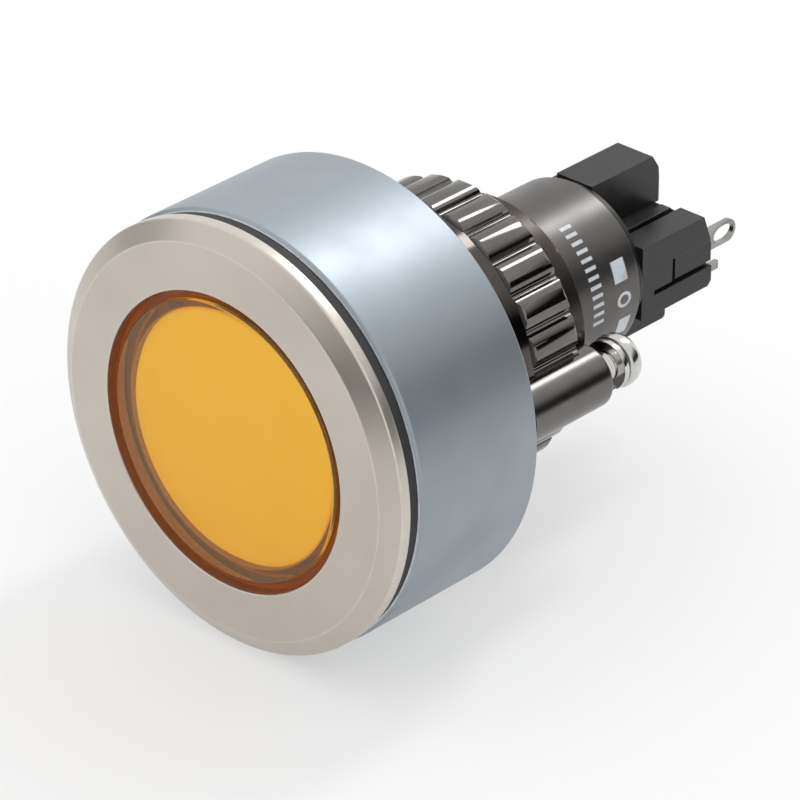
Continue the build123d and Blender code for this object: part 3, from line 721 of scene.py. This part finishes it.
bpy.ops.mesh.extrude_region_move(TRANSFORM_OT_translate={"value": (0, (nut_rear - outline_place) * MM, 0)})
bpy.ops.mesh.select_all(action="SELECT")
bpy.ops.mesh.normals_make_consistent(inside=False)
bpy.ops.object.mode_set(mode="OBJECT")

# The envelope rounds the ends of the flutes; the flange, the boss, the bore and the screw's hole follow
envelope_corners = [
    (0, flutes_front - 0.6),
    (13.8, flutes_front - 0.6),
    (flange_radius - 0.04, flutes_front - 0.1),
    (flange_radius + 0.2, flutes_front + 0.05),
    (tip_radius - 0.06, flutes_front + 0.2),
    (tip_radius + 0.02, flutes_front + 0.4),
    (tip_radius + 0.02, nut_rear - 0.85),
    (tip_radius - 0.08, nut_rear - 0.5),
    (tip_radius - 0.3, nut_rear - 0.22),
    (13.8, nut_rear),
    (0, nut_rear),
]
cut_away(nut, turn_outline("nut_envelope", envelope_corners, closed=False, steps=180), "INTERSECT")
flange_corners = [
    (0, nut_front),
    (flange_radius - 0.2, nut_front),
    (flange_radius, nut_front + 0.2),
    (flange_radius, flutes_front - 0.06),
    (flange_radius - 0.06, flutes_front),
    (0, flutes_front),
]
cut_away(nut, turn_outline("nut_flange", flange_corners, closed=False, steps=192), "UNION")
boss_angle = math.radians(-8)
boss_offset = 13.85
boss_radius = 3.2
boss_rear = 16.0


def move_to_boss():
    """Move the piece in hand from the lamp's axis to the boss's."""
    shift = (boss_offset * math.cos(boss_angle) * MM, 0, boss_offset * math.sin(boss_angle) * MM)
    bpy.ops.object.mode_set(mode="EDIT")
    bpy.ops.mesh.select_all(action="SELECT")
    bpy.ops.transform.translate(value=shift)
    bpy.ops.object.mode_set(mode="OBJECT")


boss_corners = [
    (0, nut_front),
    (boss_radius, nut_front),
    (boss_radius, boss_rear - 0.4),
    (boss_radius - 0.03, boss_rear - 0.25),
    (boss_radius - 0.1, boss_rear - 0.13),
    (boss_radius - 0.22, boss_rear - 0.04),
    (boss_radius - 0.35, boss_rear),
    (0, boss_rear),
]
boss = turn_outline("screw_boss", boss_corners, closed=False, steps=80)
move_to_boss()
cut_away(nut, boss, "UNION")
bore_corners = [
    (0, 4.0),
    (11.9, 4.0),
    (11.9, 5.06),
    (11.16, 5.7),
    (11.16, 13.4),
    (11.7, 14.04),
    (11.7, 17.0),
    (0, 17.0),
]
cut_away(nut, turn_outline("nut_bore", bore_corners, closed=False))
hole_corners = [(0, 4.0), (1.5, 4.0), (1.5, 15.7), (1.85, 16.05), (1.85, 17.0), (0, 17.0)]
hole = turn_outline("screw_hole", hole_corners, closed=False, steps=48)
move_to_boss()
cut_away(nut, hole)
bpy.ops.object.select_all(action="DESELECT")
nut.select_set(True)
bpy.context.view_layer.objects.active = nut
bpy.ops.object.shade_smooth_by_angle(angle=math.radians(34))
fit_piece(nut, "clamp_nut", "nut", nickel_black)


# The clamp screw is nickel plated steel: a slotted round head on a fine thread through the boss.
# A split spring washer under its head keeps it from working loose.
nickel = surface_finish("bright_nickel", (0.66, 0.65, 0.62), (0.56, 0.55, 0.525),
                        (0.12, 0.22), 1.0, 3500, 0.000003, 600)
screw_pitch = 0.5
screw_root = 1.22
screw_crest = 1.45
head_top = 21.4
screw_corners = [(0, 7.4), (1.1, 7.4)]
for ridge in range(21):
    screw_corners.append((screw_root, 7.85 + ridge * screw_pitch))
    screw_corners.append((screw_crest, 8.1 + ridge * screw_pitch))
screw_corners += [
    (screw_root, 18.4),
    (1.42, 18.6),
    (1.42, 19.1),
    (2.3, 19.1),
    (2.56, 19.2),
    (2.67, 19.42),
    (2.7, 19.75),
    (2.69, 20.05),
    (2.62, 20.4),
    (2.47, 20.7),
    (2.22, 20.96),
    (1.85, 21.17),
    (1.35, 21.31),
    (0.7, 21.38),
    (0, head_top),
]
screw = turn_outline("clamp_screw_turned", screw_corners, closed=False, steps=64, hold=0)
bpy.ops.object.select_all(action="DESELECT")
bpy.ops.mesh.primitive_cube_add(size=1, location=(0, head_top * MM, 0), rotation=(0, math.radians(-35), 0),
                                scale=(0.7 * MM, 2.0 * MM, 8 * MM))
slot_cutter = bpy.context.object
cut_away(screw, slot_cutter)
move_to_boss()
round_edges(screw, 0.05, 2, 40)
fit_piece(screw, "clamp_screw", "screw", nickel)
spring_washer = moulded_copy("lock_washer", "split_spring_washer", 0.08, 2)
fit_piece(spring_washer, "lock_washer", "screw_washer", nickel)


# The reflector is a white cone of moulded plastic, held on the barrel's flange.
# It throws the lamp's light on the diffuser, and shows only when the lens is pulled out.
reflector_white = surface_finish("reflector_white", (0.80, 0.80, 0.78), (0.76, 0.76, 0.74),
                                 (0.25, 0.4), 0.0, 2500, 0.000004)
reflector_corners = [(7.6, -5.4), (16.0, -5.4), (16.0, -6.4), (8.4, -6.4), (13.2, -11.5), (12.4, -11.5)]
reflector = round_edges(turn_outline("white_reflector", reflector_corners), 0.12)
fit_piece(reflector, "reflector", "housing", reflector_white)


# The lamp is a globe of clear glass cemented in a nickelled bayonet cap, which locks in a brass sleeve
# in the brown insulating tube. A sprung brass button under it carries the current.
lamp_glass = bpy.data.materials.new("lamp_glass")
lamp_glass.use_nodes = True
glass_tree = lamp_glass.node_tree
glass_shader = glass_tree.nodes["Principled BSDF"]
glass_shader.inputs["Transmission Weight"].default_value = 1.0
glass_shader.inputs["IOR"].default_value = 1.5
glass_texture = place_group(glass_tree, grain, object_coordinates(glass_tree), Cells=900, Patches=150)
glass_tone = mix_colours(glass_tree, glass_texture.outputs["Tone"], (0.97, 0.97, 0.95), (0.93, 0.94, 0.92))
glass_tree.links.new(glass_tone, glass_shader.inputs["Base Color"])
glass_gloss = spread(glass_tree, glass_texture.outputs["Tone"], 0.3, 0.7, 0.0, 0.05)
glass_tree.links.new(glass_gloss, glass_shader.inputs["Roughness"])
globe_radius = 4.9
globe_centre = 3.4
globe_corners = []
for degrees in range(0, 91, 9):
    turn = math.radians(degrees)
    globe_corners.append((globe_radius * math.sin(turn), globe_centre - globe_radius * math.cos(turn)))
globe_corners += [(4.86, 5.2), (4.7, 7.4), (4.45, 9.6), (4.22, 11.6), (4.1, 12.9), (4.1, 13.4), (0, 13.4)]
globe = turn_outline("glass_globe", globe_corners, closed=False, steps=96)
bpy.ops.object.shade_smooth_by_angle(angle=math.radians(40))
fit_piece(globe, "lamp_globe", "housing", lamp_glass)

brass = surface_finish("pressed_brass", (0.56, 0.38, 0.14), (0.48, 0.32, 0.12),
                       (0.18, 0.3), 1.0, 3500, 0.000004)
brown_plastic = surface_finish("brown_insulation", (0.035, 0.016, 0.008), (0.05, 0.022, 0.011),
                               (0.3, 0.45), 0.0, 3000, 0.00001)
for inner_node, inner_finish in (
    ("lamp_cap", nickel),
    ("lamp_socket", brown_plastic),
    ("bayonet_shell", brass),
    ("centre_contact", brass),
    ("contact_spring", tinned),
):
    for material_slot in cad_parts[inner_node].material_slots:
        material_slot.material = inner_finish


# The lamp lies on a plain pale floor, under a soft light above and behind it in an evenly lit white room.
# Grey cards at the right, in front and at the left, outside the view, give the bright metal its bands.
floor_material = bpy.data.materials.new("pale_floor")
floor_material.use_nodes = True
floor_tree = floor_material.node_tree
floor_shader = floor_tree.nodes["Principled BSDF"]
floor_shader.inputs["Base Color"].default_value = (0.86, 0.86, 0.86, 1)
floor_shader.inputs["Roughness"].default_value = 0.9
floor_path = floor_tree.nodes.new("ShaderNodeLightPath")
floor_seen = floor_path.outputs["Is Camera Ray"]
for ray in ("Is Glossy Ray", "Is Transmission Ray"):
    floor_seen = add_math(floor_tree, "MAXIMUM", floor_seen, floor_path.outputs[ray])
floor_white = floor_tree.nodes.new("ShaderNodeEmission")
floor_white.inputs["Color"].default_value = (1, 1, 1, 1)
floor_white.inputs["Strength"].default_value = 1.0
floor_white_share = 0.5
floor_mix = floor_tree.nodes.new("ShaderNodeMixShader")
floor_tree.links.new(add_math(floor_tree, "MULTIPLY", floor_seen, floor_white_share), floor_mix.inputs["Fac"])
floor_tree.links.new(floor_shader.outputs["BSDF"], floor_mix.inputs[1])
floor_tree.links.new(floor_white.outputs["Emission"], floor_mix.inputs[2])
floor_tree.links.new(floor_mix.outputs["Shader"], floor_tree.nodes["Material Output"].inputs["Surface"])
bpy.ops.object.select_all(action="DESELECT")
floor_height = -21.65
bpy.ops.mesh.primitive_plane_add(size=6, location=(0, 0, floor_height * MM))
floor = bpy.context.object
floor.name = "floor"
floor.data.materials.append(floor_material)

# Each card: its name, its greys at both ends, its place and its size, in metres
for card_name, low_grey, high_grey, card_place, card_size in (
    ("card_right", 0.02, 0.95, (0.42, 0.38, 0.23), (0.66, 0.50)),
    ("card_front", 0.02, 0.10, (0.14, -0.62, 0.10), (0.58, 0.34)),
    ("card_left", 0.30, 0.30, (-0.62, -0.14, 0.05), (0.46, 0.20)),
):
    card_material = bpy.data.materials.new(card_name)
    card_material.use_nodes = True
    card_tree = card_material.node_tree
    card_shader = card_tree.nodes["Principled BSDF"]
    card_axes = split_axes(card_tree, object_coordinates(card_tree))
    card_grey = spread(card_tree, card_axes["Y"], -0.15, 0.27, low_grey, high_grey)
    card_tree.links.new(card_grey, card_shader.inputs["Base Color"])
    card_shader.inputs["Roughness"].default_value = 1.0
    card_shader.inputs["Specular IOR Level"].default_value = 0.0
    bpy.ops.mesh.primitive_plane_add(size=1, location=card_place)
    card = bpy.context.object
    card.name = card_name
    card.scale = (*card_size, 1)
    card.rotation_mode = "QUATERNION"
    card.rotation_quaternion = Vector((card_place[0], card_place[1], 0)).to_track_quat("Z", "Y")
    card.visible_camera = False
    card.data.materials.append(card_material)

softbox = bpy.data.lights.new("softbox_above", "AREA")
softbox.shape = "RECTANGLE"
softbox.size = 0.38
softbox.size_y = 0.10
softbox.energy = 0.95
softbox.color = (0.97, 0.985, 1.0)
softbox_place = Vector((-0.015, 0.365, 0.435))
softbox_object = bpy.data.objects.new("softbox_above", softbox)
softbox_object.location = softbox_place
softbox_object.rotation_mode = "QUATERNION"
softbox_object.rotation_quaternion = softbox_place.to_track_quat("Z", "X")
bpy.context.scene.collection.objects.link(softbox_object)

world = bpy.data.worlds.new("studio")
bpy.context.scene.world = world
world.use_nodes = True
room = world.node_tree.nodes["Background"]
room.inputs["Color"].default_value = (1, 1, 1, 1)
room.inputs["Strength"].default_value = 1.0


# The camera looks at the lamp from the front, the right and above, through a long lens.
# Its place and its three axes are given in the lamp's own frame, in metres.
camera_data = bpy.data.cameras.new("camera")
camera_data.lens = 234.87
camera_data.sensor_width = 36
camera_data.clip_start = 0.01
camera_data.clip_end = 20
camera = bpy.data.objects.new("camera", camera_data)
right = Vector((0.73234, 0.68094, 0))
up = Vector((-0.3330, 0.35814, 0.87227))
towards = Vector((-0.59396, 0.63879, -0.48903))
stand = Vector((0.29355, -0.31114, 0.23645))
camera.matrix_world = Matrix((
    (right.x, up.x, -towards.x, stand.x),
    (right.y, up.y, -towards.y, stand.y),
    (right.z, up.z, -towards.z, stand.z),
    (0, 0, 0, 1),
))
bpy.context.scene.collection.objects.link(camera)
bpy.context.scene.camera = camera
